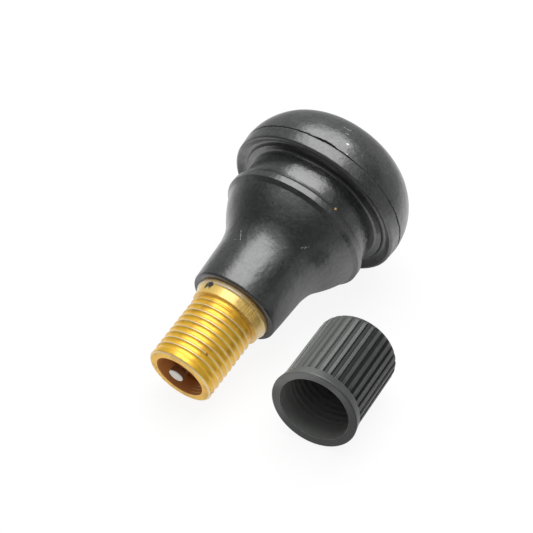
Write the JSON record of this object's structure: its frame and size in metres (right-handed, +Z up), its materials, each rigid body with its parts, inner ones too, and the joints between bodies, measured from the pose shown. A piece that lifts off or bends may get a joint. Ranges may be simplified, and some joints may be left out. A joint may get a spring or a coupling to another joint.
{
  "type": "tyre valve",
  "caption": "Snap-in rubber tyre valve with a brass stem, a sprung valve core and a ribbed plastic cap lying beside it.",
  "frame": {"origin": "on the stem's axis, in the plane where the head's lip meets the wheel rim", "axes": "+Z up from the surface that the valve lies on; the stem's axis lies in the YZ plane, with the tip towards -Y and about 13 degrees down; the cap lies on the +X side"},
  "size_m": [0.0298, 0.0349, 0.0205],
  "materials": {
    "body_rubber": "moulded, semi-matt",
    "stem_brass": "turned, bright",
    "core_brass": "turned and pressed",
    "seal_rubber": "matt",
    "pin_steel": "plated",
    "cap_plastic": "moulded, satin"
  },
  "bodies": {
    "valve": {"rubber_body": "body_rubber", "brass_stem": "stem_brass", "core_plug": "core_brass", "core_barrel": "core_brass", "barrel_gasket": "seal_rubber", "core_spring": "pin_steel", "cap": "cap_plastic"},
    "pin": {"core_pin": "pin_steel", "plunger_cup": "core_brass", "plunger_seal": "seal_rubber"}
  },
  "joints": [
    {"name": "pin_press", "type": "slide", "parent": "valve", "child": "pin", "axis": [0, 0.9726, 0.2324], "range_m": [0, 0.0015], "stiffness_N_per_m": 1200, "springref_m": -0.0012, "deforming": ["core_spring"]}
  ]
}
